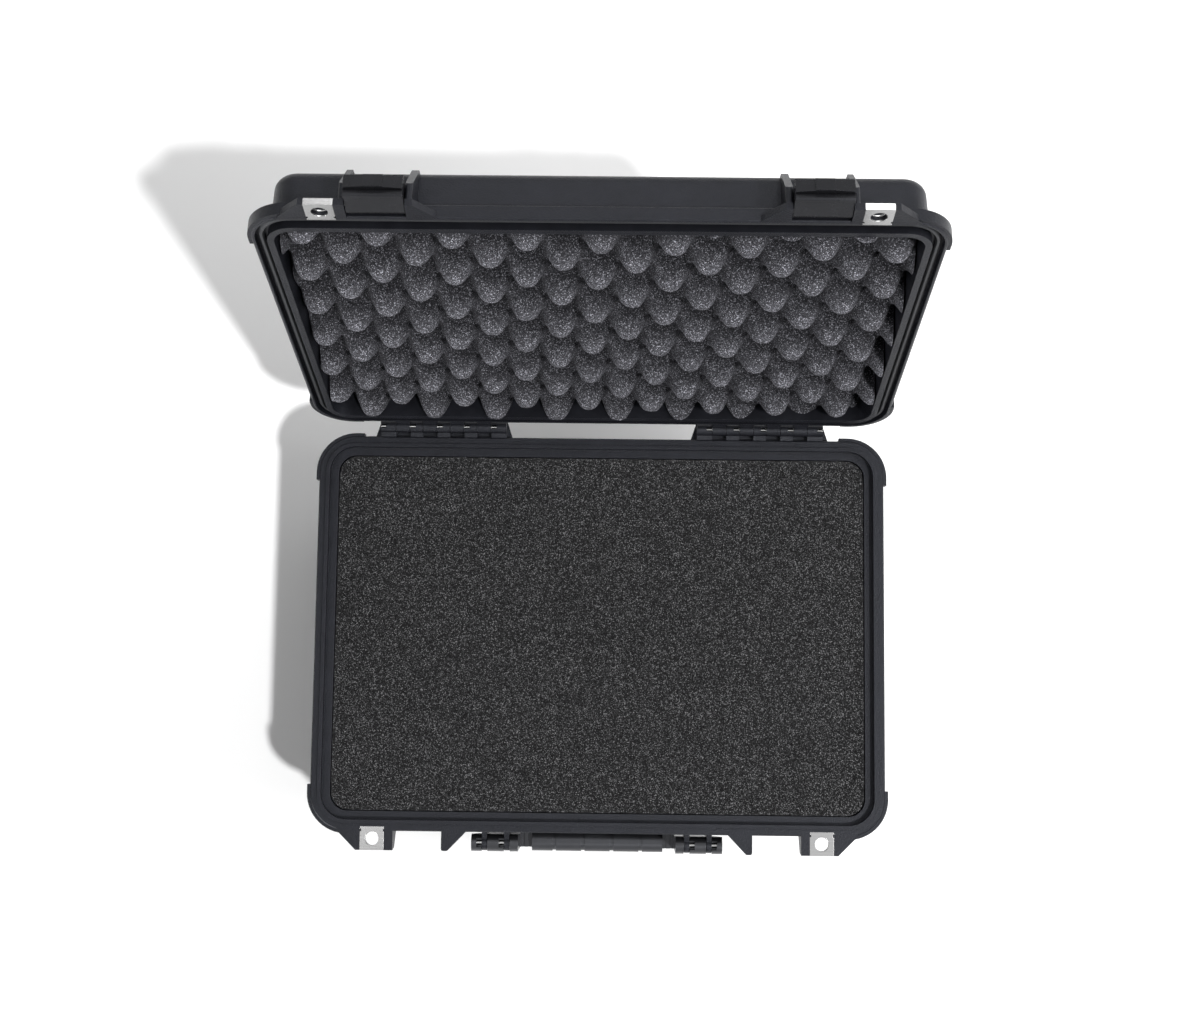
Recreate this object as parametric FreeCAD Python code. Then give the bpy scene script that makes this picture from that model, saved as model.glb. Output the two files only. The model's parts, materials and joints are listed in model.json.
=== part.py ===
import FreeCAD, Part
import math
import os

V = FreeCAD.Vector

# Overall sizes, mm. X runs across, Y from front to back, Z up from the feet.
FLANGE_WIDTH = 465.0
FLANGE_DEPTH = 322.0
BASE_HEIGHT = 126.0
LID_HEIGHT = 46.0
CORNER_RADIUS = 30.0
LEAST_CORNER_SHARE = 0.33
LID_OPEN_DEG = 105.0
LATCH_OPEN_DEG = 102.0
OVERRUN = 2.0
TOUCH = 0.01

# Shell walls
FLANGE_REACH = 11.5
WALL = 4.0
DRAFT = 4.0
LID_DRAFT = 1.5
BASE_FLANGE = 10.0
LID_FLANGE = 11.0
PARTING_GAP = 0.4
EDGE_RADIUS = 10.0
FLANGE_CHAMFER = 1.0
GUARD_PROUD = 2.5
GUARD_LENGTH = 36.5

# Feet under the base and the matching rails on the lid's roof
FOOT_HEIGHT = 5.5
FOOT_LENGTH = 86.0
FOOT_WIDTH = 30.0
FOOT_OUT = 168.0
FOOT_BACK = 96.0
FOOT_RADIUS = 9.0
RAIL_HEIGHT = 4.0
RAIL_WIDTH = 22.0
RAIL_RADIUS = 7.0
RAIL_LENGTH = 232.0
RAIL_OUT = 122.0

# Upright stiffening ribs on the end walls
RIB_COUNT = 3
RIB_PITCH = 78.0
RIB_WIDTH = 12.0
RIB_PROUD = 3.0
RIB_DROP = 84.0

# Sealing rim, measured inward from the flange's edge
TONGUE_START = 5.7
TONGUE_WIDTH = 3.2
TONGUE_HEIGHT = 1.8
LEDGE_DEPTH = 4.0
GROOVE_START = 2.4
LIP_START = 10.8
LIP_DROP = 1.5
SEAL_WIDTH = 4.0
SEAL_HEIGHT = 3.6
SEAL_BEVEL = 1.2
SEAL_GAP = 0.3

# Padlock lugs and their bent plates
LUG_OUT = 15.4
LUG_THICK = 5.0
LUG_OUTER = 194.6
HOLE_RADIUS = 5.5
HOLE_ACROSS = 181.4
HOLE_OUT = 6.2
SLOT_SLACK = 0.6
PLATE_WIDTH = 19.4
PLATE_THICK = 1.0
PLATE_REACH = 3.5
PLATE_NOTCH = 2.0

# Latch guards: a straight rib beside the lug and a raking fin on the inner side
LATCH_ACROSS = 145.05
LATCH_BAY = 39.3
FIN_TIP = 4.9
FIN_ROOT = 19.6
GUARD_WIDTH = 4.0
TIP_RADIUS = 1.8
BASE_FIN_DROP = 36.0
LID_FIN_STRAIGHT = 17.0
LID_FIN_TOP = 44.0

# Latches, in the closed place: out from the flange's edge and up from the parting plane
LATCH_WIDTH = 38.4
LATCH_PIN_OUT = 5.5
LATCH_PIN_UP = 5.6
LATCH_PIN_RADIUS = 1.5
LATCH_PIN_SEAT = 4.0
HOOK_BARREL = 4.6
HOOK_GAP = 0.5
HOOK_THICK = 6.7
CLAW_REACH = 3.2
CLAW_THICK = 3.2
CLAW_GAP = 0.4
CLAW_ROUND = 1.2
LEVER_PIN_OUT = 12.1
LEVER_PIN_UP = 6.6
LEVER_PIN_RADIUS = 1.0
LEVER_BARREL = 2.6
LEVER_KNUCKLE = 12.0
LEVER_GAP = 0.4
LEVER_CHEEK = 5.6
PAD_COUNT = 3
PAD_BACK = 1.5
PAD_THICK = 3.2
PAD_BEVEL = 2.6
PAD_STEPS = (1.0, 0.4)
PAD_TURN_DEG = 5.0

# Hinges, behind the rear flange edge
HINGE_ACROSS = 130.5
HINGE_OUT = 8.3
KNUCKLE_RADIUS = 4.8
KNUCKLE_PITCH = 22.3
LID_KNUCKLE = 11.2
LID_KNUCKLES = 4
KNUCKLE_GAP = 0.3
END_KNUCKLE = 12.5
LEAF_SHOULDER = 5.0
LEAF_THICK = 3.5
LEAF_GAP = 1.2
LEAF_BACK = 7.0
HINGE_PIN_RADIUS = 1.7
PIN_CLEARANCE = 0.05
KNUCKLE_WINDOW = 4.6
STOP_GAP = 0.25
STOP_THICK = 3.0
STOP_OUT = 6.0
STOP_START = 0.8

# Carrying handle
HANDLE_PIVOT_OUT = 9.4
HANDLE_PIVOT_DROP = 18.0
HANDLE_KNUCKLE = 7.0
HANDLE_INNER = 64.0
HANDLE_OUTER = 102.0
BRACKETS = (73.2, 91.3)
BRACKET_WIDTH = 4.2
BRACKET_RADIUS = 6.2
BRACKET_GAP = 0.35
BRACKET_FOOT_DROP = 44.0
HANDLE_PIN_RADIUS = 2.0
PIN_WINDOW = 4.0
PIN_WINDOW_HALF = 3.6
ARM_HALF = 6.0
YOKE_DROP = 7.6
YOKE_DEPTH = 7.0
REST_GAP = 0.3
BAR_DROP = 47.0
ARM_FOOT = 76.0
GRIP_HALF = 54.5
GRIP_HEIGHT = 26.0
GRIP_THICK = 17.0
GRIP_OUT = 10.0
GRIP_RADIUS = 7.0
GRIP_BANDS = 4
GRIP_BAND_PITCH = 24.0
GRIP_BAND_WIDTH = 3.0
GRIP_BAND_DEPTH = 0.8
BAR_HEIGHT = 15.0
BAR_THICK = 9.0
BAR_RADIUS = 3.5
NECK_RIDGES = 2
NECK_RIDGE = 1.6
NECK_RIDGE_DEPTH = 1.2

# Pressure valve in the front wall
VENT_DROP = 40.0
VENT_HEAD = 10.0
VENT_HEAD_THICK = 6.0
VENT_SOCKET = 5.2
VENT_SOCKET_DEPTH = 3.5
VENT_STEM = 6.0
VENT_STEM_LENGTH = 12.0
VENT_AIRWAY = 2.0
VENT_MEMBRANE_THICK = 0.6
VENT_BOSS = 15.0
VENT_BOSS_PROUD = 0.6
VENT_RING = 1.2
NUT_ACROSS_CORNERS = 19.0
NUT_THICK = 4.5
NUT_POCKET_GAP = 2.0

# Foam
FOAM_GAP = 0.6
FOAM_TOP_DROP = 5.0
FLOOR_PAD = 11.0
CELL_HEIGHT_SHARE = 0.5
LID_FOAM_INSET = 1.7
PEAK_PITCH = 49.9
PEAK_HEIGHT = 25.0
PEAK_BASE = 16.8
PEAK_TIP = 6.5
PEAK_SIDES = 8
PEAK_BELOW = 4.0
PEAK_TURN_DEG = 2.6
PEAK_SHIFT_X = -5.5
PEAK_SHIFT_Y = 21.0

# Places that several pieces share
FRONT = -FLANGE_DEPTH / 2
BACK = FLANGE_DEPTH / 2
LID_BOTTOM = BASE_HEIGHT + PARTING_GAP
LID_ROOF = BASE_HEIGHT + LID_HEIGHT
FLOOR_TOP = FOOT_HEIGHT + WALL
INNER = FLANGE_REACH + WALL
GROOVE_TOP = BASE_HEIGHT + TONGUE_HEIGHT + SEAL_GAP + SEAL_HEIGHT
FOAM_TOP = BASE_HEIGHT - FOAM_TOP_DROP
PIVOT_Y = FRONT - HANDLE_PIVOT_OUT
PIVOT_Z = BASE_HEIGHT - HANDLE_PIVOT_DROP
HINGE_Y = BACK + HINGE_OUT
BAY_INNER = LATCH_ACROSS - LATCH_BAY / 2
BAY_OUTER = LATCH_ACROSS + LATCH_BAY / 2
VENT_Z = BASE_HEIGHT - VENT_DROP


def outline(inset, z):
    # The case's rounded rectangle, drawn in by an inset.
    half_x = FLANGE_WIDTH / 2 - inset
    half_y = FLANGE_DEPTH / 2 - inset
    radius = max(CORNER_RADIUS - inset, CORNER_RADIUS * LEAST_CORNER_SHARE)
    return rounded_wire(half_x, half_y, radius, z)


def rounded_wire(half_x, half_y, radius, z):
    edges = []
    corners = ((1, 1), (-1, 1), (-1, -1), (1, -1))
    diagonal = radius * math.sqrt(0.5)
    for index, (sx, sy) in enumerate(corners):
        centre = V(sx * (half_x - radius), sy * (half_y - radius), z)
        along_x = centre + V(sx * radius, 0, 0)
        along_y = centre + V(0, sy * radius, 0)
        middle = centre + V(sx * diagonal, sy * diagonal, 0)
        start, end = (along_x, along_y) if index % 2 == 0 else (along_y, along_x)
        if edges:
            edges.append(Part.makeLine(edges[-1].Vertexes[-1].Point, start))
        edges.append(Part.Arc(start, middle, end).toShape())
    edges.append(Part.makeLine(edges[-1].Vertexes[-1].Point, edges[0].Vertexes[0].Point))
    return Part.Wire(edges)


def slab(inset, low, high):
    return Part.Face(outline(inset, low)).extrude(V(0, 0, high - low))


def ring(outer_inset, inner_inset, low, high):
    return slab(outer_inset, low, high).cut(slab(inner_inset, low - OVERRUN, high + OVERRUN))


def taper(low_inset, low, high_inset, high):
    return Part.makeLoft([outline(low_inset, low), outline(high_inset, high)], True, True)


def side_prism(points, low_x, high_x):
    # A profile of (y, z) points, carried across from one x to another.
    corners = [V(low_x, y, z) for y, z in points]
    return Part.Face(Part.makePolygon(corners + corners[:1])).extrude(V(high_x - low_x, 0, 0))


def plan_prism(points, low, high):
    corners = [V(x, y, low) for x, y in points]
    return Part.Face(Part.makePolygon(corners + corners[:1])).extrude(V(0, 0, high - low))


def rod(y, z, radius, low_x, high_x):
    return Part.makeCylinder(radius, high_x - low_x, V(low_x, y, z), V(1, 0, 0))


def box(low, high):
    return Part.makeBox(high[0] - low[0], high[1] - low[1], high[2] - low[2], V(*low))


def mirrored(shape):
    return shape.mirror(V(0, 0, 0), V(1, 0, 0))


def both_sides(shapes):
    return shapes + [mirrored(shape) for shape in shapes]


def joined(shapes):
    return shapes[0].multiFuse(shapes[1:]).removeSplitter()


def cut_all(shape, tools):
    for tool in tools:
        shape = shape.cut(tool)
    return shape


def rounded_edges(shape, radius, wanted):
    chosen = [edge for edge in shape.Edges if wanted(edge)]
    return shape.makeFillet(radius, chosen)


def level_edge(z):
    # True for an edge that lies wholly at one height.
    def test(edge):
        ends = edge.BoundBox
        return max(abs(ends.ZMin - z), abs(ends.ZMax - z)) < TOUCH
    return test


def corner_guards(low, high):
    # Thicker flange at the four corners.
    proud = slab(-GUARD_PROUD, low, high)
    gap_x = FLANGE_WIDTH / 2 - GUARD_LENGTH
    gap_y = FLANGE_DEPTH / 2 - GUARD_LENGTH
    far_x = FLANGE_WIDTH
    far_y = FLANGE_DEPTH
    middle_x = box((-gap_x, -far_y, low - OVERRUN), (gap_x, far_y, high + OVERRUN))
    middle_y = box((-far_x, -gap_y, low - OVERRUN), (far_x, gap_y, high + OVERRUN))
    return proud.cut(middle_x).cut(middle_y)


def flange(low, high):
    plate = slab(0, low, high)
    edges = level_edge(high)
    under = level_edge(low)
    plate = plate.makeChamfer(FLANGE_CHAMFER, [edge for edge in plate.Edges if edges(edge) or under(edge)])
    return plate.fuse(corner_guards(low + FLANGE_CHAMFER, high - FLANGE_CHAMFER))


def lug(low, high):
    # Padlock lug on the right: square on the latch's side, raking into the corner outside.
    root = FRONT + FLANGE_REACH
    tip = FRONT - LUG_OUT
    rake = LUG_OUTER + LUG_OUT
    points = ((BAY_OUTER, root), (BAY_OUTER, tip), (LUG_OUTER, tip), (rake, FRONT), (rake, root))
    return plan_prism(points, low, high)


def plate_bend(low, high):
    # The steel strip folded round the lug's front, before its holes.
    half = PLATE_WIDTH / 2
    back = FRONT + PLATE_REACH
    tip = FRONT - LUG_OUT
    outer = ((back, low), (tip, low), (tip, high), (back, high))
    inner = (
        (back + OVERRUN, low + PLATE_THICK),
        (tip + PLATE_THICK, low + PLATE_THICK),
        (tip + PLATE_THICK, high - PLATE_THICK),
        (back + OVERRUN, high - PLATE_THICK),
    )
    across = (HOLE_ACROSS - half, HOLE_ACROSS + half)
    return side_prism(outer, *across).cut(side_prism(inner, *across))


def lug_seat(low, high):
    # Room for the folded plate, and the open slot behind its hole.
    tip = FRONT - LUG_OUT
    hole = HOLE_RADIUS + SLOT_SLACK
    centre = V(HOLE_ACROSS, FRONT - HOLE_OUT, low - OVERRUN)
    bore = Part.makeCylinder(hole, high - low + OVERRUN * 2, centre)
    mouth = box(
        (HOLE_ACROSS - hole, tip - OVERRUN, low - OVERRUN),
        (HOLE_ACROSS + hole, FRONT - HOLE_OUT, high + OVERRUN),
    )
    return [plate_bend(low, high), bore, mouth]


def padlock_plate(low, high):
    back = FRONT + PLATE_REACH
    centre = V(HOLE_ACROSS, FRONT - HOLE_OUT, low - OVERRUN)
    cuts = [Part.makeCylinder(HOLE_RADIUS, high - low + OVERRUN * 2, centre)]
    for side in (HOLE_ACROSS - PLATE_WIDTH / 2, HOLE_ACROSS + PLATE_WIDTH / 2):
        notch_low = (side - PLATE_NOTCH / 2, back - PLATE_NOTCH * 2, low - OVERRUN)
        notch_high = (side + PLATE_NOTCH / 2, back - PLATE_NOTCH, high + OVERRUN)
        cuts.append(box(notch_low, notch_high))
    return cut_all(plate_bend(low, high), cuts)


def rib_plan(root):
    # Plan of the straight guard beside the lug, on the right.
    tip = FRONT - LUG_OUT
    outer = BAY_OUTER + GUARD_WIDTH
    return (BAY_OUTER, root), (BAY_OUTER, tip), (outer, tip), (outer, root)


def fin_plan(root, root_width):
    # Plan of the inner guard on the right: narrow at its tip, raking out to a root width.
    tip = FRONT - LUG_OUT
    rake = BAY_INNER - root_width
    return (BAY_INNER, root), (BAY_INNER, tip), (BAY_INNER - FIN_TIP, tip), (rake, FRONT), (rake, root)


def guard(plan, low, high, profile):
    # A guard with a rounded tip, trimmed to a side profile of (y, z) points.
    trim = side_prism(profile, BAY_INNER - FIN_ROOT, BAY_OUTER + GUARD_WIDTH)
    tip = FRONT - LUG_OUT
    solid = plan_prism(plan, low, high)

    def at_tip(edge):
        bounds = edge.BoundBox
        return bounds.ZLength > (high - low) / 2 and bounds.YMax < tip + TIP_RADIUS / 2
    return rounded_edges(solid, TIP_RADIUS, at_tip).common(trim)


def base_guards():
    root = FRONT + INNER - WALL / 2
    back = FRONT + INNER
    tip = FRONT - LUG_OUT - OVERRUN
    low = BASE_HEIGHT - BASE_FIN_DROP
    profile = ((back, low), (back, BASE_HEIGHT), (tip, BASE_HEIGHT), (tip, BASE_HEIGHT - BASE_FLANGE))
    return [guard(plan, low, BASE_HEIGHT, profile) for plan in (rib_plan(root), fin_plan(root, FIN_ROOT))]


def lid_guard_root():
    return FRONT + FLANGE_REACH + EDGE_RADIUS


def lid_guard(plan):
    # The crest falls back to the wall and runs out over the roof's rounded edge.
    tip = FRONT - LUG_OUT
    profile = (
        (lid_guard_root(), LID_BOTTOM),
        (tip, LID_BOTTOM),
        (tip, BASE_HEIGHT + LID_FIN_STRAIGHT),
        (FRONT + FLANGE_REACH, BASE_HEIGHT + LID_FIN_TOP),
        (lid_guard_root(), LID_ROOF),
    )
    return guard(plan, LID_BOTTOM, LID_ROOF, profile)


def knuckle_spans():
    # (start, end) of every lid knuckle and every base knuckle of the right hinge.
    lid_spans = []
    first = HINGE_ACROSS - KNUCKLE_PITCH * (LID_KNUCKLES - 1) / 2
    for index in range(LID_KNUCKLES):
        middle = first + index * KNUCKLE_PITCH
        lid_spans.append((middle - LID_KNUCKLE / 2, middle + LID_KNUCKLE / 2))
    starts = [lid_spans[0][0] - KNUCKLE_GAP - END_KNUCKLE]
    starts += [span[1] + KNUCKLE_GAP for span in lid_spans]
    ends = [span[0] - KNUCKLE_GAP for span in lid_spans]
    ends.append(lid_spans[-1][1] + KNUCKLE_GAP + END_KNUCKLE)
    return lid_spans, list(zip(starts, ends))


def base_hinge():
    # Leaf plate under the knuckles, with the base's knuckles standing on it.
    spans = knuckle_spans()[1]
    root = BACK - FLANGE_REACH
    top = BASE_HEIGHT - KNUCKLE_RADIUS - LEAF_GAP
    low = top - LEAF_THICK
    left, right = spans[0][0], spans[-1][1]
    leaf = plan_prism(
        (
            (left - LEAF_SHOULDER, root),
            (left - LEAF_SHOULDER, BACK),
            (left, HINGE_Y + LEAF_BACK),
            (right, HINGE_Y + LEAF_BACK),
            (right + LEAF_SHOULDER, BACK),
            (right + LEAF_SHOULDER, root),
        ),
        low,
        top,
    )
    shapes = [leaf]
    for start, end in spans:
        web = (
            (BACK - FLANGE_CHAMFER, low),
            (BACK - FLANGE_CHAMFER, BASE_HEIGHT - FLANGE_CHAMFER),
            (HINGE_Y - KNUCKLE_RADIUS / 2, BASE_HEIGHT),
            (HINGE_Y + KNUCKLE_RADIUS / 2, BASE_HEIGHT),
            (HINGE_Y + KNUCKLE_RADIUS, low),
        )
        shapes.append(side_prism(web, start, end))
        shapes.append(rod(HINGE_Y, BASE_HEIGHT, KNUCKLE_RADIUS, start, end))
    return shapes


def base_hinge_cuts():
    # Pin bore and the moulding windows that show the pin from above.
    spans = knuckle_spans()[1]
    cuts = [rod(HINGE_Y, BASE_HEIGHT, HINGE_PIN_RADIUS, spans[0][0] - OVERRUN, spans[-1][1] + OVERRUN)]
    for start, end in spans:
        cuts.append(box(
            (end - KNUCKLE_WINDOW, HINGE_Y - HINGE_PIN_RADIUS, BASE_HEIGHT),
            (end + KNUCKLE_GAP / 2, HINGE_Y + HINGE_PIN_RADIUS, BASE_HEIGHT + KNUCKLE_RADIUS + OVERRUN),
        ))
    return cuts


def lid_hinge():
    # Lid knuckles with their arms and the heels that land on the base's leaf when the lid is open.
    shapes = []
    for start, end in knuckle_spans()[0]:
        arm = (
            (BACK - FLANGE_CHAMFER, LID_BOTTOM + FLANGE_CHAMFER),
            (HINGE_Y, BASE_HEIGHT),
            (HINGE_Y + KNUCKLE_RADIUS / 2, BASE_HEIGHT + KNUCKLE_RADIUS / 2),
            (HINGE_Y - KNUCKLE_RADIUS / 2, BASE_HEIGHT + KNUCKLE_RADIUS),
            (BACK - FLANGE_CHAMFER, BASE_HEIGHT + LID_FLANGE - FLANGE_CHAMFER),
        )
        stop = BASE_HEIGHT - KNUCKLE_RADIUS - LEAF_GAP + STOP_GAP
        heel = box(
            (start, HINGE_Y + STOP_START, stop),
            (end, HINGE_Y + STOP_OUT, stop + STOP_THICK),
        )
        heel.rotate(V(0, HINGE_Y, BASE_HEIGHT), V(1, 0, 0), LID_OPEN_DEG)
        shapes += [side_prism(arm, start, end), rod(HINGE_Y, BASE_HEIGHT, KNUCKLE_RADIUS, start, end), heel]
    return shapes


def hinge_pin():
    spans = knuckle_spans()[1]
    return rod(HINGE_Y, BASE_HEIGHT, HINGE_PIN_RADIUS, spans[0][0], spans[-1][1])


def feet():
    # Four feet near the corners and one in the middle.
    shapes = []
    for sx, sy in ((-1, -1), (-1, 1), (0, 0), (1, -1), (1, 1)):
        wire = rounded_wire(FOOT_LENGTH / 2, FOOT_WIDTH / 2, FOOT_RADIUS, 0)
        foot = Part.Face(wire).extrude(V(0, 0, FOOT_HEIGHT))
        foot.translate(V(sx * FOOT_OUT, sy * FOOT_BACK, 0))
        shapes.append(foot)
    return shapes


def end_ribs():
    # Upright ribs on the right end wall, fading out towards the floor.
    shapes = []
    wall = FLANGE_WIDTH / 2 - FLANGE_REACH
    top = BASE_HEIGHT - BASE_FLANGE
    points = (
        (wall - WALL / 2, top),
        (wall + RIB_PROUD, top),
        (wall - DRAFT / 2, top - RIB_DROP),
        (wall - DRAFT - WALL / 2, top - RIB_DROP),
    )
    for index in range(RIB_COUNT):
        y = (index - (RIB_COUNT - 1) / 2) * RIB_PITCH - RIB_WIDTH / 2
        corners = [V(x, y, z) for x, z in points]
        shapes.append(Part.Face(Part.makePolygon(corners + corners[:1])).extrude(V(0, RIB_WIDTH, 0)))
    return shapes


def brackets():
    # Ears for the handle's pin, drawn down the wall as rests for the folded handle.
    wall = FRONT + INNER
    rest = PIVOT_Y + ARM_HALF + REST_GAP
    under = BASE_HEIGHT - BASE_FLANGE
    foot = BASE_HEIGHT - BRACKET_FOOT_DROP
    profile = (
        (wall, under),
        (FRONT, under),
        (PIVOT_Y - BRACKET_RADIUS / 2, PIVOT_Z + BRACKET_RADIUS / 2),
        (PIVOT_Y, PIVOT_Z - BRACKET_RADIUS),
        (rest, PIVOT_Z - BRACKET_RADIUS),
        (rest, foot + BRACKET_RADIUS),
        (wall, foot),
    )
    shapes = []
    for middle in BRACKETS:
        start = middle - BRACKET_WIDTH / 2
        end = middle + BRACKET_WIDTH / 2
        shapes += [side_prism(profile, start, end), rod(PIVOT_Y, PIVOT_Z, BRACKET_RADIUS, start, end)]
    return shapes


def front_rod(radius, start, end):
    # A round bar through the front wall at the valve, from one y to another.
    return Part.makeCylinder(radius, end - start, V(0, start, VENT_Z), V(0, 1, 0))


def wall_at(z):
    # The front wall's outer and inner faces at a height.
    fall = DRAFT * (BASE_HEIGHT - z) / (BASE_HEIGHT - FOOT_HEIGHT)
    outer = FRONT + FLANGE_REACH + fall
    return outer, outer + WALL


def vent_faces():
    # The valve's flat boss faces: outside, and inside on the wall's flat spot.
    fall = DRAFT * VENT_BOSS / (BASE_HEIGHT - FOOT_HEIGHT)
    proud = fall + VENT_BOSS_PROUD
    return wall_at(VENT_Z)[0] - proud, wall_at(VENT_Z)[1] + proud


def base_shell():
    body = taper(FLANGE_REACH + DRAFT, FOOT_HEIGHT, FLANGE_REACH, BASE_HEIGHT)
    body = rounded_edges(body, EDGE_RADIUS, level_edge(FOOT_HEIGHT))
    under = BASE_HEIGHT - BASE_FLANGE
    lug_low = BASE_HEIGHT - LUG_THICK
    outside, inside = vent_faces()
    right = [lug(lug_low, BASE_HEIGHT)] + base_guards() + base_hinge() + brackets() + end_ribs()
    tongue = ring(TONGUE_START, TONGUE_START + TONGUE_WIDTH, under, BASE_HEIGHT + TONGUE_HEIGHT)
    solids = [body, flange(under, BASE_HEIGHT), tongue, front_rod(VENT_BOSS, outside, inside)]
    shell = joined(solids + feet() + both_sides(right))
    room = taper(INNER + DRAFT, FLOOR_TOP, INNER, BASE_HEIGHT)
    room = room.cut(front_rod(VENT_BOSS, outside, inside))
    ledge_start = TONGUE_START + TONGUE_WIDTH
    ledge = slab(ledge_start, BASE_HEIGHT - LEDGE_DEPTH, BASE_HEIGHT + TONGUE_HEIGHT + OVERRUN)
    cuts = lug_seat(lug_low, BASE_HEIGHT) + base_hinge_cuts()
    for middle in BRACKETS:
        cuts.append(rod(PIVOT_Y, PIVOT_Z, HANDLE_PIN_RADIUS, middle - BRACKET_WIDTH, middle + BRACKET_WIDTH))
    bore = front_rod(VENT_STEM, outside - OVERRUN, inside + OVERRUN)
    return cut_all(shell, [room, ledge, bore] + both_sides(cuts))


def roof_rails():
    shapes = []
    for side in (-1, 1):
        wire = rounded_wire(RAIL_WIDTH / 2, RAIL_LENGTH / 2, RAIL_RADIUS, LID_ROOF)
        rail = Part.Face(wire).extrude(V(0, 0, RAIL_HEIGHT))
        rail.translate(V(side * RAIL_OUT, 0, 0))
        shapes.append(rail)
    return shapes


def latch_pin_span():
    return BAY_INNER - LATCH_PIN_SEAT, BAY_OUTER + LATCH_PIN_SEAT


def lid_outside():
    # The lid's body and flange as one solid block, in the closed place.
    body = taper(FLANGE_REACH, LID_BOTTOM, FLANGE_REACH + LID_DRAFT, LID_ROOF)
    body = rounded_edges(body, EDGE_RADIUS, level_edge(LID_ROOF))
    lip = slab(LIP_START, BASE_HEIGHT - LIP_DROP, BASE_HEIGHT + LID_FLANGE)
    return [body, flange(LID_BOTTOM, BASE_HEIGHT + LID_FLANGE), lip]


def latch_pin():
    return rod(FRONT - LATCH_PIN_OUT, BASE_HEIGHT + LATCH_PIN_UP, LATCH_PIN_RADIUS, *latch_pin_span())


def lid_shell():
    shell = joined(lid_outside() + roof_rails() + both_sides(lid_hinge()))
    room = taper(INNER, BASE_HEIGHT - LIP_DROP, INNER + LID_DRAFT, LID_ROOF - WALL)
    groove = ring(GROOVE_START, LIP_START, BASE_HEIGHT - LIP_DROP, GROOVE_TOP)
    cuts = [plate_bend(LID_BOTTOM, LID_BOTTOM + LUG_THICK)]
    for start, end in knuckle_spans()[0]:
        bore = HINGE_PIN_RADIUS + PIN_CLEARANCE
        cuts.append(rod(HINGE_Y, BASE_HEIGHT, bore, start - KNUCKLE_GAP / 2, end + KNUCKLE_GAP / 2))
    return cut_all(shell, [room, groove] + both_sides(cuts))


def lid_lug_guard():
    # Padlock lug with the straight latch guard, standing on the lid's flange and wall.
    high = LID_BOTTOM + LUG_THICK
    solid = joined([lug(LID_BOTTOM, high), lid_guard(rib_plan(lid_guard_root()))])
    return cut_all(solid, lid_outside() + lug_seat(LID_BOTTOM, high) + [latch_pin()])


def lid_fin_guard():
    # Thin inner latch guard with its raking gusset along the flange's edge.
    root = lid_guard_root()
    gusset = plan_prism(fin_plan(root, FIN_ROOT), LID_BOTTOM, LID_BOTTOM + LUG_THICK)
    solid = joined([gusset, lid_guard(fin_plan(root, FIN_TIP))])
    return cut_all(solid, lid_outside() + [latch_pin()])


def lid_seal():
    # Rubber strip bonded to the groove's roof, bevelled along its free edge.
    middle = (GROOVE_START + LIP_START) / 2
    outer = middle - SEAL_WIDTH / 2
    inner = middle + SEAL_WIDTH / 2
    low = GROOVE_TOP - SEAL_HEIGHT
    shoulder = low + SEAL_BEVEL
    block = taper(outer + SEAL_BEVEL, low, outer, shoulder).fuse(slab(outer, shoulder, GROOVE_TOP))
    hollow = taper(inner - SEAL_BEVEL, low, inner, shoulder).fuse(slab(inner, shoulder, GROOVE_TOP))
    return block.cut(hollow)


def latch_span():
    return LATCH_ACROSS - LATCH_WIDTH / 2, LATCH_ACROSS + LATCH_WIDTH / 2


def lever_knuckle_span(gap):
    half = LEVER_KNUCKLE / 2 + gap
    return LATCH_ACROSS - half, LATCH_ACROSS + half


def latch_hook():
    # Flat inner half of a latch: barrel on the lid's pin, claw that hooks under the base's flange.
    pin_y = FRONT - LATCH_PIN_OUT
    pin_z = BASE_HEIGHT + LATCH_PIN_UP
    lever_y = FRONT - LEVER_PIN_OUT
    lever_z = BASE_HEIGHT + LEVER_PIN_UP
    inner = FRONT - HOOK_GAP
    outer = inner - HOOK_THICK
    claw_top = BASE_HEIGHT - BASE_FLANGE - CLAW_GAP
    claw_low = claw_top - CLAW_THICK
    plate = (
        (inner, pin_z),
        (inner, claw_top),
        (inner + CLAW_REACH, claw_top),
        (inner + CLAW_REACH, claw_low + CLAW_ROUND),
        (inner + CLAW_REACH - CLAW_ROUND, claw_low),
        (outer, claw_low),
        (outer, pin_z),
    )
    ear = (
        (pin_y, pin_z + HOOK_BARREL / 2),
        (pin_y, pin_z - HOOK_BARREL / 2),
        (lever_y, lever_z - LEVER_BARREL / 2),
        (lever_y, lever_z + LEVER_BARREL / 2),
    )
    span = latch_span()
    middle = lever_knuckle_span(0)
    gap_low, gap_high = lever_knuckle_span(LEVER_GAP)
    body = side_prism(plate, *span).fuse(rod(pin_y, pin_z, HOOK_BARREL, *span))
    for start, end in ((span[0] - OVERRUN, gap_low), (gap_high, span[1] + OVERRUN)):
        body = body.cut(rod(lever_y, lever_z, LEVER_BARREL + LEVER_GAP, start, end))
    knuckle = [side_prism(ear, *middle), rod(lever_y, lever_z, LEVER_BARREL, *middle)]
    bores = [
        rod(pin_y, pin_z, LATCH_PIN_RADIUS + PIN_CLEARANCE, span[0] - OVERRUN, span[1] + OVERRUN),
        rod(lever_y, lever_z, LEVER_PIN_RADIUS, span[0] - OVERRUN, span[1] + OVERRUN),
    ]
    return cut_all(joined([body] + knuckle), bores)


def pad_top():
    return BASE_HEIGHT - BASE_FLANGE - CLAW_GAP - CLAW_THICK - LEVER_GAP


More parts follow.
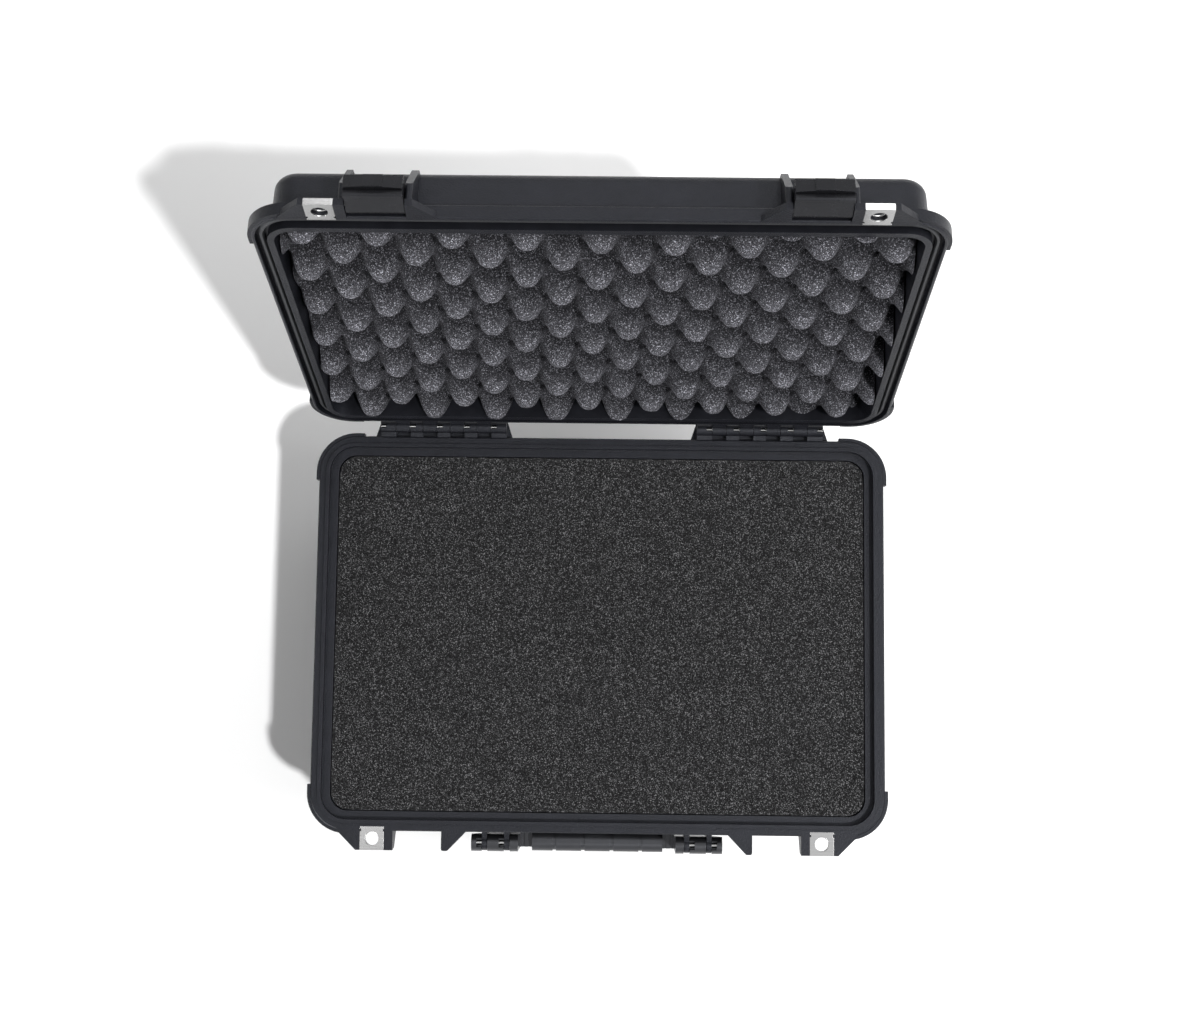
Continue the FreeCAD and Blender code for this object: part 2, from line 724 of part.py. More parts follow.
def lever_pads():
    # Three pads side by side under the pulling end, the outer two stepped and turned back.
    inner = FRONT - HOOK_GAP - PAD_BACK
    face = FRONT - LEVER_PIN_OUT - LEVER_BARREL
    low = pad_top() - PAD_THICK
    high = pad_top() + PAD_THICK
    profile = ((inner, low), (inner, high), (face, high), (face, low + PAD_BEVEL), (face + PAD_BEVEL, low))
    start, end = latch_span()
    third = (end - start) / PAD_COUNT
    pads = [side_prism(profile, start + third, end - third)]
    sides = ((start, start + third, 1, PAD_STEPS[0]), (end - third, end, -1, PAD_STEPS[1]))
    for low_x, high_x, turn, step in sides:
        pivot = V(low_x if turn < 0 else high_x, 0, low + step)
        pad = side_prism(profile, low_x - OVERRUN, high_x + OVERRUN)
        pad.translate(V(0, 0, step))
        pad.rotate(pivot, V(0, 1, 0), turn * PAD_TURN_DEG)
        pads.append(pad.common(box((low_x, face, low), (high_x, inner, high))))
    plate = FRONT - HOOK_GAP - HOOK_THICK - LEVER_GAP
    hook_room = box((start - OVERRUN, plate, pad_top()), (end + OVERRUN, inner + OVERRUN, high + OVERRUN))
    return [pad.cut(hook_room) for pad in pads]


def latch_lever():
    # Outer half of a latch: a cheek over the barrel, knuckles at the top and pads at the bottom.
    pin_z = BASE_HEIGHT + LATCH_PIN_UP
    lever_y = FRONT - LEVER_PIN_OUT
    lever_z = BASE_HEIGHT + LEVER_PIN_UP
    inner = FRONT - HOOK_GAP - HOOK_THICK - LEVER_GAP
    skin = FRONT - LATCH_PIN_OUT - HOOK_BARREL - LEVER_GAP
    face = lever_y - LEVER_BARREL
    cheek = (
        (skin, lever_z),
        (face, lever_z),
        (face, pad_top()),
        (inner, pad_top()),
        (inner, pin_z - LEVER_CHEEK),
        (skin, pin_z - LEVER_CHEEK),
    )
    span = latch_span()
    solids = [side_prism(cheek, *span)] + lever_pads()
    gap_low, gap_high = lever_knuckle_span(LEVER_GAP)
    for start, end in ((span[0], gap_low), (gap_high, span[1])):
        solids.append(rod(lever_y, lever_z, LEVER_BARREL, start, end))
    room = rod(lever_y, lever_z, LEVER_BARREL + LEVER_GAP, gap_low, gap_high)
    bore = rod(lever_y, lever_z, LEVER_PIN_RADIUS + PIN_CLEARANCE, span[0] - OVERRUN, span[1] + OVERRUN)
    return cut_all(joined(solids), [room, bore])


def lever_pin():
    return rod(FRONT - LEVER_PIN_OUT, BASE_HEIGHT + LEVER_PIN_UP, LEVER_PIN_RADIUS, *latch_span())


def handle_spans():
    # (start, end) of the handle's three knuckles on the right.
    edges = [HANDLE_INNER]
    for middle in BRACKETS:
        edges += [middle - BRACKET_WIDTH / 2 - BRACKET_GAP, middle + BRACKET_WIDTH / 2 + BRACKET_GAP]
    edges.append(HANDLE_OUTER)
    return list(zip(edges[0::2], edges[1::2]))


def handle_arm():
    # One side of the bail: knuckles, the yoke under them and the arm that runs in to the bar.
    yoke_top = PIVOT_Z - YOKE_DROP
    yoke_low = yoke_top - YOKE_DEPTH
    bar_top = PIVOT_Z - BAR_DROP + BAR_HEIGHT / 2
    bar_low = bar_top - BAR_HEIGHT
    front = PIVOT_Y - ARM_HALF
    outline_points = (
        (HANDLE_INNER, yoke_top),
        (HANDLE_OUTER, yoke_top),
        (HANDLE_OUTER, yoke_low),
        (ARM_FOOT, bar_low),
        (GRIP_HALF, bar_low),
        (GRIP_HALF, bar_top),
        (HANDLE_INNER, bar_top),
    )
    corners = [V(x, front, z) for x, z in outline_points]
    arm = Part.Face(Part.makePolygon(corners + corners[:1])).extrude(V(0, ARM_HALF * 2, 0))
    solids = [arm]
    for start, end in handle_spans():
        solids.append(rod(PIVOT_Y, PIVOT_Z, HANDLE_KNUCKLE, start, end))
        solids.append(box((start, PIVOT_Y - ARM_HALF, yoke_low), (end, PIVOT_Y + ARM_HALF, PIVOT_Z)))
    return solids


def handle_cuts():
    # Pin bore, the windows over the pin, and shallow ridges across the necks.
    cuts = [rod(PIVOT_Y, PIVOT_Z, HANDLE_PIN_RADIUS + PIN_CLEARANCE, HANDLE_INNER + WALL, HANDLE_OUTER - WALL)]
    for start, _ in handle_spans()[1:]:
        cuts.append(box(
            (start - BRACKET_GAP / 2, PIVOT_Y - PIN_WINDOW_HALF, PIVOT_Z),
            (start + PIN_WINDOW, PIVOT_Y + PIN_WINDOW_HALF, PIVOT_Z + HANDLE_KNUCKLE + OVERRUN),
        ))
    top = PIVOT_Z - BAR_DROP + BAR_HEIGHT / 2
    room = (HANDLE_INNER - GRIP_HALF) / NECK_RIDGES
    for index in range(NECK_RIDGES):
        start = GRIP_HALF + (index + 0.5) * room - NECK_RIDGE / 2
        cuts.append(box(
            (start, PIVOT_Y - ARM_HALF - OVERRUN, top - NECK_RIDGE_DEPTH),
            (start + NECK_RIDGE, PIVOT_Y + ARM_HALF + OVERRUN, top + OVERRUN),
        ))
    return cuts


def sleeve(height, thick, radius, half_length):
    # A rounded bar across the handle, centred on the grip.
    wire = rounded_wire(height / 2, thick / 2, radius, 0)
    solid = Part.Face(wire).extrude(V(0, 0, half_length * 2))
    solid.rotate(V(0, 0, 0), V(0, 1, 0), 90)
    solid.translate(V(-half_length, FRONT - GRIP_OUT, PIVOT_Z - BAR_DROP))
    return solid


def handle_frame():
    bar = sleeve(BAR_HEIGHT, BAR_THICK, BAR_RADIUS, GRIP_HALF)
    frame = joined([bar] + both_sides(handle_arm()))
    return cut_all(frame, both_sides(handle_cuts()))


def handle_grip():
    grip = sleeve(GRIP_HEIGHT, GRIP_THICK, GRIP_RADIUS, GRIP_HALF)
    cuts = [sleeve(BAR_HEIGHT, BAR_THICK, BAR_RADIUS, GRIP_HALF + OVERRUN)]
    groove = sleeve(GRIP_HEIGHT + OVERRUN, GRIP_THICK + OVERRUN, GRIP_RADIUS, GRIP_BAND_WIDTH / 2)
    inner_height = GRIP_HEIGHT - GRIP_BAND_DEPTH * 2
    inner_thick = GRIP_THICK - GRIP_BAND_DEPTH * 2
    groove = groove.cut(sleeve(inner_height, inner_thick, GRIP_RADIUS - GRIP_BAND_DEPTH, GRIP_BAND_WIDTH))
    for index in range(GRIP_BANDS):
        band = groove.copy()
        band.translate(V((index - (GRIP_BANDS - 1) / 2) * GRIP_BAND_PITCH, 0, 0))
        cuts.append(band)
    return cut_all(grip, cuts)


def handle_pin():
    return rod(PIVOT_Y, PIVOT_Z, HANDLE_PIN_RADIUS, HANDLE_INNER + WALL, HANDLE_OUTER - WALL)


def vent_body():
    # Round head with a socket for the membrane, on a hollow threaded stem.
    outside = vent_faces()[0]
    face = outside - VENT_RING
    head = front_rod(VENT_HEAD, face - VENT_HEAD_THICK, face)
    stem = front_rod(VENT_STEM - PIN_CLEARANCE, face - WALL, outside + VENT_STEM_LENGTH)
    socket = front_rod(VENT_SOCKET, face - VENT_HEAD_THICK - OVERRUN, face - VENT_HEAD_THICK + VENT_SOCKET_DEPTH)
    airway = front_rod(VENT_AIRWAY, face - VENT_HEAD_THICK, outside + VENT_STEM_LENGTH + OVERRUN)
    return head.fuse(stem).cut(socket).cut(airway)


def vent_membrane():
    seat = vent_faces()[0] - VENT_RING - VENT_HEAD_THICK + VENT_SOCKET_DEPTH
    return front_rod(VENT_SOCKET, seat - VENT_MEMBRANE_THICK, seat)


def vent_o_ring():
    outside = vent_faces()[0]
    ring_solid = front_rod((VENT_HEAD + VENT_STEM) / 2, outside - VENT_RING, outside)
    return ring_solid.cut(front_rod(VENT_STEM, outside - VENT_RING - OVERRUN, outside + OVERRUN))


def vent_nut():
    inside = vent_faces()[1]
    corners = []
    for index in range(6):
        angle = math.radians(60 * index)
        reach = NUT_ACROSS_CORNERS / 2
        corners.append(V(reach * math.cos(angle), inside, VENT_Z + reach * math.sin(angle)))
    nut = Part.Face(Part.makePolygon(corners + corners[:1])).extrude(V(0, NUT_THICK, 0))
    return nut.cut(front_rod(VENT_STEM, inside - OVERRUN, inside + NUT_THICK + OVERRUN))


def foam_block(low, high):
    # A block that follows the drafted room of the base, with room for the valve's nut and stem.
    height = BASE_HEIGHT - FLOOR_TOP
    low_inset = INNER + FOAM_GAP + DRAFT * (BASE_HEIGHT - low) / height
    high_inset = INNER + FOAM_GAP + DRAFT * (BASE_HEIGHT - high) / height
    block = taper(low_inset, low, high_inset, high)
    inside = vent_faces()[1]
    end = vent_faces()[0] + VENT_STEM_LENGTH + NUT_POCKET_GAP
    return block.cut(front_rod(VENT_BOSS + NUT_POCKET_GAP, FRONT, max(end, inside + NUT_THICK + NUT_POCKET_GAP)))


def foam_levels():
    pad_top = FLOOR_TOP + FLOOR_PAD
    middle = pad_top + (FOAM_TOP - pad_top) * CELL_HEIGHT_SHARE
    return pad_top, middle


def peak_corners(radius, spot, z):
    corners = []
    for index in range(PEAK_SIDES):
        angle = math.tau * index / PEAK_SIDES
        corners.append(V(spot.x + radius * math.cos(angle), spot.y + radius * math.sin(angle), z))
    return corners


def peak(spot, valley, tip):
    # One blunt peak with flat sides, hanging from the valley down to its tip.
    feet_ring = peak_corners(PEAK_BASE, spot, valley)
    tip_ring = peak_corners(PEAK_TIP, spot, tip)
    outlines = [feet_ring, tip_ring]
    for index in range(PEAK_SIDES):
        outlines.append([feet_ring[index - 1], feet_ring[index], tip_ring[index], tip_ring[index - 1]])
    faces = [Part.Face(Part.makePolygon(corners + corners[:1])) for corners in outlines]
    return Part.makeSolid(Part.makeShell(faces))


def peak_spots(inset):
    # Tips in staggered rows, slightly turned, over the whole pad.
    spots = []
    columns = math.ceil(FLANGE_WIDTH / PEAK_PITCH)
    rows = math.ceil(FLANGE_DEPTH / PEAK_PITCH) * 2
    turn = FreeCAD.Rotation(V(0, 0, 1), PEAK_TURN_DEG)
    half_x = FLANGE_WIDTH / 2 - inset + PEAK_BASE
    half_y = FLANGE_DEPTH / 2 - inset + PEAK_BASE
    for row in range(-rows, rows + 1):
        for column in range(-columns, columns + 1):
            across = (column + (row % 2) / 2) * PEAK_PITCH
            spot = turn.multVec(V(across, row * PEAK_PITCH / 2, 0)) + V(PEAK_SHIFT_X, PEAK_SHIFT_Y, 0)
            if abs(spot.x) < half_x and abs(spot.y) < half_y:
                spots.append(spot)
    return spots


def lid_foam():
    # Pad against the lid's roof with blunt peaks, trimmed to the lid's room.
    roof = LID_ROOF - WALL
    valley = BASE_HEIGHT - PEAK_BELOW + PEAK_HEIGHT
    tip = valley - PEAK_HEIGHT
    inset = INNER + LID_FOAM_INSET
    room = slab(inset, tip, valley)
    pad = slab(inset, valley, roof)
    peaks = []
    for spot in peak_spots(inset):
        peaks += peak(spot, valley, tip).common(room).Solids
    return joined([pad] + peaks)


def open_lid(shape):
    shape = shape.copy()
    shape.rotate(V(0, HINGE_Y, BASE_HEIGHT), V(1, 0, 0), -LID_OPEN_DEG)
    return shape


def open_latch(shape):
    shape = shape.copy()
    shape.rotate(V(0, FRONT - LATCH_PIN_OUT, BASE_HEIGHT + LATCH_PIN_UP), V(1, 0, 0), -LATCH_OPEN_DEG)
    return open_lid(shape)


def write(name, shape):
    shape.exportStep(os.path.join("parts", name + ".step"))


def write_pair(name, shape):
    write(name + "_right", shape)
    write(name + "_left", mirrored(shape))


def main():
    os.makedirs("parts", exist_ok=True)
    pad_top, middle = foam_levels()
    lug_low = BASE_HEIGHT - LUG_THICK
    write("base_shell", base_shell())
    write("base_foam_pad", foam_block(FLOOR_TOP, pad_top))
    write("pluck_foam_lower", foam_block(pad_top, middle))
    write("pluck_foam_upper", foam_block(middle, FOAM_TOP))
    write_pair("hinge_pin", hinge_pin())
    write_pair("padlock_plate_base", padlock_plate(lug_low, BASE_HEIGHT))
    write_pair("handle_pin", handle_pin())
    write("vent_body", vent_body())
    write("vent_membrane", vent_membrane())
    write("vent_o_ring", vent_o_ring())
    write("vent_nut", vent_nut())
    write("handle_frame", handle_frame())
    write("handle_grip", handle_grip())
    write("lid_shell", open_lid(lid_shell()))
    write_pair("lid_lug_guard", open_lid(lid_lug_guard()))
    write_pair("lid_fin_guard", open_lid(lid_fin_guard()))
    write("lid_foam", open_lid(lid_foam()))
    write("lid_seal", open_lid(lid_seal()))
    write_pair("padlock_plate_lid", open_lid(padlock_plate(LID_BOTTOM, LID_BOTTOM + LUG_THICK)))
    write_pair("latch_pin", open_lid(latch_pin()))
    write_pair("latch_hook", open_latch(latch_hook()))
    write_pair("latch_lever_pin", open_latch(lever_pin()))
    write_pair("latch_lever", open_latch(latch_lever()))


main()
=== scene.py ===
import bmesh
import bpy
import json
import math
import random
from mathutils import Matrix, Vector, noise


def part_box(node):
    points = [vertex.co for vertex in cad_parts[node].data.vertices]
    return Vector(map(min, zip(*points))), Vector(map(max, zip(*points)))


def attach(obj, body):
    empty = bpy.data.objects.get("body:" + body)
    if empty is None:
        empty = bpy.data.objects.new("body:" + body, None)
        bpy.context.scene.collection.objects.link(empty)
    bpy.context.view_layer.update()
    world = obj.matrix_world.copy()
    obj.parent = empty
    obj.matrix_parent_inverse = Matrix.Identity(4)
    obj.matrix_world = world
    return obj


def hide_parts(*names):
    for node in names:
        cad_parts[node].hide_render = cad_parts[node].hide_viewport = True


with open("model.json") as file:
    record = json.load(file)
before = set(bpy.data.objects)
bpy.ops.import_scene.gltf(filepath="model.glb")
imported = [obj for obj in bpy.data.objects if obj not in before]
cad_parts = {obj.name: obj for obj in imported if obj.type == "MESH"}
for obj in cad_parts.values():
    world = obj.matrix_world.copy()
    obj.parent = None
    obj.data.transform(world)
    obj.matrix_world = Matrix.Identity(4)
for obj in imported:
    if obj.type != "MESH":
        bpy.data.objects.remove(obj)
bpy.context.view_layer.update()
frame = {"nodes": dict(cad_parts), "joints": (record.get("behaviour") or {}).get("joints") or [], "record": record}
NODES = frame["nodes"]
JOINTS = {joint["name"]: joint for joint in frame["joints"]}

# Lengths are in metres. The lid's hinge and its open angle come from the frame's joint.
MM = 0.001
HINGE = Vector(JOINTS["lid_hinge"]["pos_m"])
LID_OPEN = math.radians(JOINTS["lid_hinge"]["range_deg"][1])
PARTING_Z = HINGE.z
SEED = 7

# Camera, fitted to the straight edges of the case, with its sensor in millimetres
IMAGE_WIDTH_PX = 1200
FOCAL_PX = 1752.94
SENSOR_MM = 36.0
CAMERA_PLACE = Vector((16.16, -63.11, 1558.32)) * MM
CAMERA_PITCH_DEG = -6.38
CAMERA_YAW_DEG = -0.66
CAMERA_ROLL_DEG = -0.65

# All foam pads: rounded corners, and the steps that follow them
FOAM_CORNER = 15.0 * MM
CORNER_STEPS = 6
WELD = 0.05 * MM

# Convoluted lid foam: blunt peaks that reach a little below the parting plane when the lid is shut
PEAK_PITCH = 49.9 * MM
PEAK_HEIGHT = 29.0 * MM
PEAK_BELOW = 4.0 * MM
PEAK_TURN = math.radians(2.6)
PEAK_SHIFT = Vector((-5.5, 21.0)) * MM
TIP_Z = PARTING_Z - PEAK_BELOW
LID_FOAM_HALF = Vector((215.3, 143.8)) * MM
LID_FOAM_BACK = 42.0 * MM
LID_FOAM_STEP = 1.7 * MM

# Its unevenness: a slow sway of the rows and small pits, each with its waves per metre
FOAM_SWAY = 0.9 * MM
SWAY_RATE = 40.0
FOAM_PIT = 0.35 * MM
PIT_RATE = 700.0

# Cubed base foam, and the plain sheet under it
CUBE = 12.5 * MM
SCORE_HALF = 0.12 * MM
SCORE_DEPTH = 0.15 * MM
CUBE_UNEVEN = 0.05 * MM
SHEET_STEP = 10.0 * MM

# Edges flatter than these angles are shaded smooth
FOAM_SMOOTH_DEG = 60.0
SOLID_SMOOTH_DEG = 32.0

# Moulded plastic and rubber: shares of the colour along the mottle, spread of the gloss, grain and edges
MOTTLE = {"Scale": 55.0, "Detail": 6.0, "Roughness": 0.65}
MOTTLE_SHARES = ((0.30, 0.72), (0.55, 1.0), (0.78, 1.35))
GLOSS_BELOW = 0.06
GLOSS_ABOVE = 0.08
GRAIN = {"Detail": 3.0, "Roughness": 0.6}
GRAIN_DEPTH = 0.45 * MM
PLASTIC_EDGE = 0.4 * MM
COAT_ROUGHNESS = 0.2
SHINE_TINT = (0.88, 0.91, 1.0, 1.0)
PLASTICS = {
    "shell": dict(name="shell_plastic", colour=(0.0070, 0.0073, 0.0095), roughness=0.38,
                  grain=0.9, grain_scale=900.0, coat=0.0, shine=0.20),
    "handle_plastic": dict(name="handle_plastic", colour=(0.009, 0.009, 0.0099), roughness=0.30,
                           grain=0.12, grain_scale=500.0, coat=0.3, shine=0.5),
    "latch_plastic": dict(name="latch_plastic", colour=(0.007, 0.007, 0.00805), roughness=0.26,
                          grain=0.15, grain_scale=500.0, coat=0.05, shine=0.20),
    "grip_rubber": dict(name="grip_rubber", colour=(0.010, 0.010, 0.011), roughness=0.38,
                        grain=0.2, grain_scale=500.0, coat=0.15, shine=0.5),
    "seal_rubber": dict(name="seal_rubber", colour=(0.006, 0.006, 0.006), roughness=0.5,
                        grain=0.1, grain_scale=400.0, coat=0.0, shine=0.5),
    "valve_plastic": dict(name="valve_plastic", colour=(0.014, 0.014, 0.0154), roughness=0.45,
                          grain=0.3, grain_scale=700.0, coat=0.0, shine=0.5),
    "membrane": dict(name="membrane_film", colour=(0.6, 0.6, 0.6), roughness=0.7,
                     grain=0.3, grain_scale=2500.0, coat=0.0, shine=0.5),
}

# Brushed steel: streaks along each plate, with shares of the colour across them
STREAK_SCALES = (60.0, 2600.0, 2600.0)
STREAK = {"Scale": 1.0, "Detail": 4.0}
STREAK_SHARES = ((0.25, 0.82), (0.75, 1.0))
STREAK_STRENGTH = 0.15
STREAK_DEPTH = 0.05 * MM
STEEL_EDGE = 0.6 * MM
STEELS = {
    "stainless": dict(name="stainless_plate", colour=(0.38, 0.38, 0.38), roughness=0.24),
    "steel_pin": dict(name="ground_pin", colour=(0.50, 0.50, 0.50), roughness=0.2),
}
EDGE_SAMPLES = 4

# Open cell foam: share of the cells up to each of a foam's four tones, shares of those tones in cloudy
# patches, and painted shade that darkens them from the tips of the peaks down to the valleys
CELL_SCALE = 1900.0
CELL_SHARES = (0.0, 0.6, 0.88, 1.0)
CELL_STRENGTH = 0.5
CELL_DEPTH = 0.4 * MM
CLOUD = {"Scale": 60.0, "Detail": 4.0, "Roughness": 0.6}
CLOUD_SHARES = ((0.3, 0.82), (0.7, 1.0))
VALLEY_SHADE_SHARES = ((0.0, 1.0), (0.18, 0.72), (0.5, 0.40), (1.0, 0.22))
FOAM_ROUGHNESS = 0.95
FOAM_SHINE = 0.05
FOAMS = {
    "base_foam": dict(name="base_foam_cells", cast=(1.0, 1.0, 1.03), tones=(0.006, 0.016, 0.050, 0.25)),
    "lid_foam": dict(name="lid_foam_cells", cast=(1.0, 1.0, 1.12), tones=(0.026, 0.062, 0.145, 0.55)),
}

# White floor and surroundings
WHITE = (1.0, 1.0, 1.0)
FLOOR_HALF = 20.0
FLOOR_COLOUR = (0.98, 0.98, 0.98, 1.0)
FLOOR_ROUGHNESS = 0.9
WORLD_STRENGTH = 0.08

# Light: a crisp key from the right and front, and panels with their place, size and power
KEY_PLACE = Vector((0.47, -0.38, 1.0))
KEY_AIM = Vector((0.0, 0.0, 0.0))
KEY_STRENGTH = 2.6
KEY_ANGLE = math.radians(3.0)
PANELS = {
    "panel_left": (Vector((-0.7, 0.0, 1.7)), Vector((0.4, 0.9)), 3.0),
    "panel_right": (Vector((2.1, 0.1, 1.7)), Vector((1.8, 1.2)), 60.0),
    "panel_back": (Vector((0.3, 1.75, 1.85)), Vector((1.4, 0.6)), 16.0),
    "panel_front": (Vector((-1.9, -2.1, 0.2)), Vector((1.6, 0.3)), 70.0),
}
PANEL_AIM = Vector((0.0, 0.1, 0.1))


def material(name):
    made = bpy.data.materials.new(name)
    made.use_nodes = True
    nodes = made.node_tree.nodes
    return made, nodes, made.node_tree.links, nodes["Principled BSDF"]


def add(nodes, kind, **values):
    # A node with some of its inputs or settings changed.
    node = nodes.new(kind)
    for key, value in values.items():
        if key in node.inputs:
            node.inputs[key].default_value = value
        else:
            setattr(node, key, value)
    return node


def ramp(nodes, stops, colour):
    # Shares of one colour at places from 0 to 1.
    node = nodes.new("ShaderNodeValToRGB")
    elements = node.color_ramp.elements
    for place, _ in stops[1:-1]:
        elements.new(place)
    for element, (place, share) in zip(elements, stops):
        element.position = place
        element.color = (*(part * share for part in colour), 1.0)
    return node


def relief(nodes, links, shader, height, strength, depth, edge):
    # Fine relief on a surface whose edges are softly rounded.
    soft_edge = add(nodes, "ShaderNodeBevel", samples=EDGE_SAMPLES, Radius=edge)
    bump = add(nodes, "ShaderNodeBump", Strength=strength, Distance=depth)
    links.new(height, bump.inputs["Height"])
    links.new(soft_edge.outputs["Normal"], bump.inputs["Normal"])
    links.new(bump.outputs["Normal"], shader.inputs["Normal"])


def moulded(name, colour, roughness, grain, grain_scale, coat, shine):
    # Moulded plastic or rubber: mottled colour and gloss, with a fine grain.
    made, nodes, links, shader = material(name)
    place = add(nodes, "ShaderNodeTexCoord")
    mottle = add(nodes, "ShaderNodeTexNoise", **MOTTLE)
    texture = add(nodes, "ShaderNodeTexNoise", Scale=grain_scale, **GRAIN)
    for node in (mottle, texture):
        links.new(place.outputs["Object"], node.inputs["Vector"])
    colours = ramp(nodes, MOTTLE_SHARES, colour)
    links.new(mottle.outputs["Fac"], colours.inputs["Fac"])
    links.new(colours.outputs["Color"], shader.inputs["Base Color"])
    gloss = add(nodes, "ShaderNodeMapRange")
    gloss.inputs["To Min"].default_value = roughness - GLOSS_BELOW
    gloss.inputs["To Max"].default_value = roughness + GLOSS_ABOVE
    links.new(mottle.outputs["Fac"], gloss.inputs["Value"])
    links.new(gloss.outputs["Result"], shader.inputs["Roughness"])
    relief(nodes, links, shader, texture.outputs["Fac"], grain, GRAIN_DEPTH, PLASTIC_EDGE)
    shader.inputs["Specular IOR Level"].default_value = shine
    shader.inputs["Specular Tint"].default_value = SHINE_TINT
    shader.inputs["Coat Weight"].default_value = coat
    shader.inputs["Coat Roughness"].default_value = COAT_ROUGHNESS
    return made


def steel(name, colour, roughness):
    # Brushed steel: long streaks, darker and lighter.
    made, nodes, links, shader = material(name)
    place = add(nodes, "ShaderNodeTexCoord")
    stretch = add(nodes, "ShaderNodeMapping", Scale=STREAK_SCALES)
    links.new(place.outputs["Object"], stretch.inputs["Vector"])
    streak = add(nodes, "ShaderNodeTexNoise", **STREAK)
    links.new(stretch.outputs["Vector"], streak.inputs["Vector"])
    colours = ramp(nodes, STREAK_SHARES, colour)
    links.new(streak.outputs["Fac"], colours.inputs["Fac"])
    links.new(colours.outputs["Color"], shader.inputs["Base Color"])
    relief(nodes, links, shader, streak.outputs["Fac"], STREAK_STRENGTH, STREAK_DEPTH, STEEL_EDGE)
    shader.inputs["Metallic"].default_value = 1.0
    shader.inputs["Roughness"].default_value = roughness
    return made


def multiplied(nodes, links, colour, factors):
    # A colour darkened by each factor in turn.
    for factor in factors:
        product = add(nodes, "ShaderNodeMix", data_type="RGBA", blend_type="MULTIPLY")
        product.inputs["Factor"].default_value = 1.0
        links.new(colour, product.inputs["A"])
        links.new(factor.outputs["Color"], product.inputs["B"])
        colour = product.outputs["Result"]
    return colour


def foam(name, cast, tones):
    # Open cell foam: every cell has its own tone, most of them dark and a few bright.
    # Only the lid foam has a depth, and painted shade darkens it from the tips down to the valleys.
    # Elsewhere the depth reads as zero, which darkens nothing.
    made, nodes, links, shader = material(name)
    place = add(nodes, "ShaderNodeTexCoord")
    cells = add(nodes, "ShaderNodeTexVoronoi", Scale=CELL_SCALE)
    clouds = add(nodes, "ShaderNodeTexNoise", **CLOUD)
    for node in (cells, clouds):
        links.new(place.outputs["Object"], node.inputs["Vector"])
    chance = add(nodes, "ShaderNodeSeparateColor")
    links.new(cells.outputs["Color"], chance.inputs["Color"])
    shades = ramp(nodes, tuple(zip(CELL_SHARES, tones)), cast)
    links.new(chance.outputs["Red"], shades.inputs["Fac"])
    patches = ramp(nodes, CLOUD_SHARES, WHITE)
    links.new(clouds.outputs["Fac"], patches.inputs["Fac"])
    # Painted shade: the colour grows darker with the depth, towards the valleys between the peaks.
    depth = add(nodes, "ShaderNodeAttribute", attribute_name="depth")
    painted_valley_shade = ramp(nodes, VALLEY_SHADE_SHARES, WHITE)
    links.new(depth.outputs["Fac"], painted_valley_shade.inputs["Fac"])
    colour = multiplied(nodes, links, shades.outputs["Color"], (patches, painted_valley_shade))
    links.new(colour, shader.inputs["Base Color"])
    bump = add(nodes, "ShaderNodeBump", Strength=CELL_STRENGTH, Distance=CELL_DEPTH)
    links.new(cells.outputs["Distance"], bump.inputs["Height"])
    links.new(bump.outputs["Normal"], shader.inputs["Normal"])
    shader.inputs["Roughness"].default_value = FOAM_ROUGHNESS
    shader.inputs["Specular IOR Level"].default_value = FOAM_SHINE
    return made


def dress(looks):
    # Every solid gets the material of its slot in the record, and smooth rounded faces.
    for part in frame["record"]["subparts"]:
        mesh = NODES[part["node"]].data
        mesh.materials.clear()
        mesh.materials.append(looks[part["material_slot"]])
    for node in NODES.values():
        smooth(node.data, SOLID_SMOOTH_DEG)


def smooth(mesh, angle_deg):
    mesh.shade_smooth()
    mesh.set_sharp_from_angle(angle=math.radians(angle_deg))


def linked(name, data):
    made = bpy.data.objects.new(name, data)
    bpy.context.scene.collection.objects.link(made)
    return made


def corner_limit(y, half):
    # Half-width of a pad with rounded corners at a given y.
    over = abs(y) - (half.y - FOAM_CORNER)
    if over <= 0.0:
        return half.x
    return half.x - FOAM_CORNER + math.sqrt(max(FOAM_CORNER * FOAM_CORNER - over * over, 0.0))


def corner_rows(half):
    # Extra rows that follow the rounded corners.
    rows = []
    for index in range(1, CORNER_STEPS + 1):
        reach = half.y - FOAM_CORNER + FOAM_CORNER * math.sin(math.pi / 2 * index / CORNER_STEPS)
        rows += [-reach, reach]
    return rows


def spaced(half, step):
    # Even grid lines across a pad.
    count = 2 * math.ceil(half / step)
    return [-half + 2 * half * index / count for index in range(count + 1)]


def scored(half):
    # Grid lines of a cubed block, three to each narrow score between the cubes.
    lines = [-half]
    count = math.floor(half / CUBE)
    for index in range(-count, count + 1):
        middle = index * CUBE
        if abs(middle) < half - SCORE_HALF:
            lines += [middle - SCORE_HALF, middle, middle + SCORE_HALF]
    lines.append(half)
    return lines


def pad(name, xs, ys, half, top_point, back):
    # A closed pad over a grid: shaped top, straight sides and a flat back.
    built = bmesh.new()
    rows = []
    for y in sorted(set(ys + corner_rows(half))):
        limit = corner_limit(y, half)
        rows.append([built.verts.new(top_point(max(-limit, min(limit, x)), y)) for x in xs])
    for low, high in zip(rows, rows[1:]):
        for corners in zip(low, low[1:], high[1:], high):
            built.faces.new(corners)
    left = [row[0] for row in rows[1:-1]]
    right = [row[-1] for row in rows[1:-1]]
    rim = rows[0] + right + rows[-1][::-1] + left[::-1]
    foot = [built.verts.new((vertex.co.x, vertex.co.y, back)) for vertex in rim]
    for index in range(len(rim)):
        built.faces.new((rim[index - 1], rim[index], foot[index], foot[index - 1]))
    built.faces.new(foot)
    bmesh.ops.remove_doubles(built, verts=built.verts[:], dist=WELD)
    bmesh.ops.recalc_face_normals(built, faces=built.faces[:])
    mesh = bpy.data.meshes.new(name)
    built.to_mesh(mesh)
    built.free()
    return linked(name, mesh)


def seat(piece, body, node, look):
    # A soft pad takes the place of its plain solid.
    piece.data.materials.append(look)
    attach(piece, body)
    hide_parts(node)


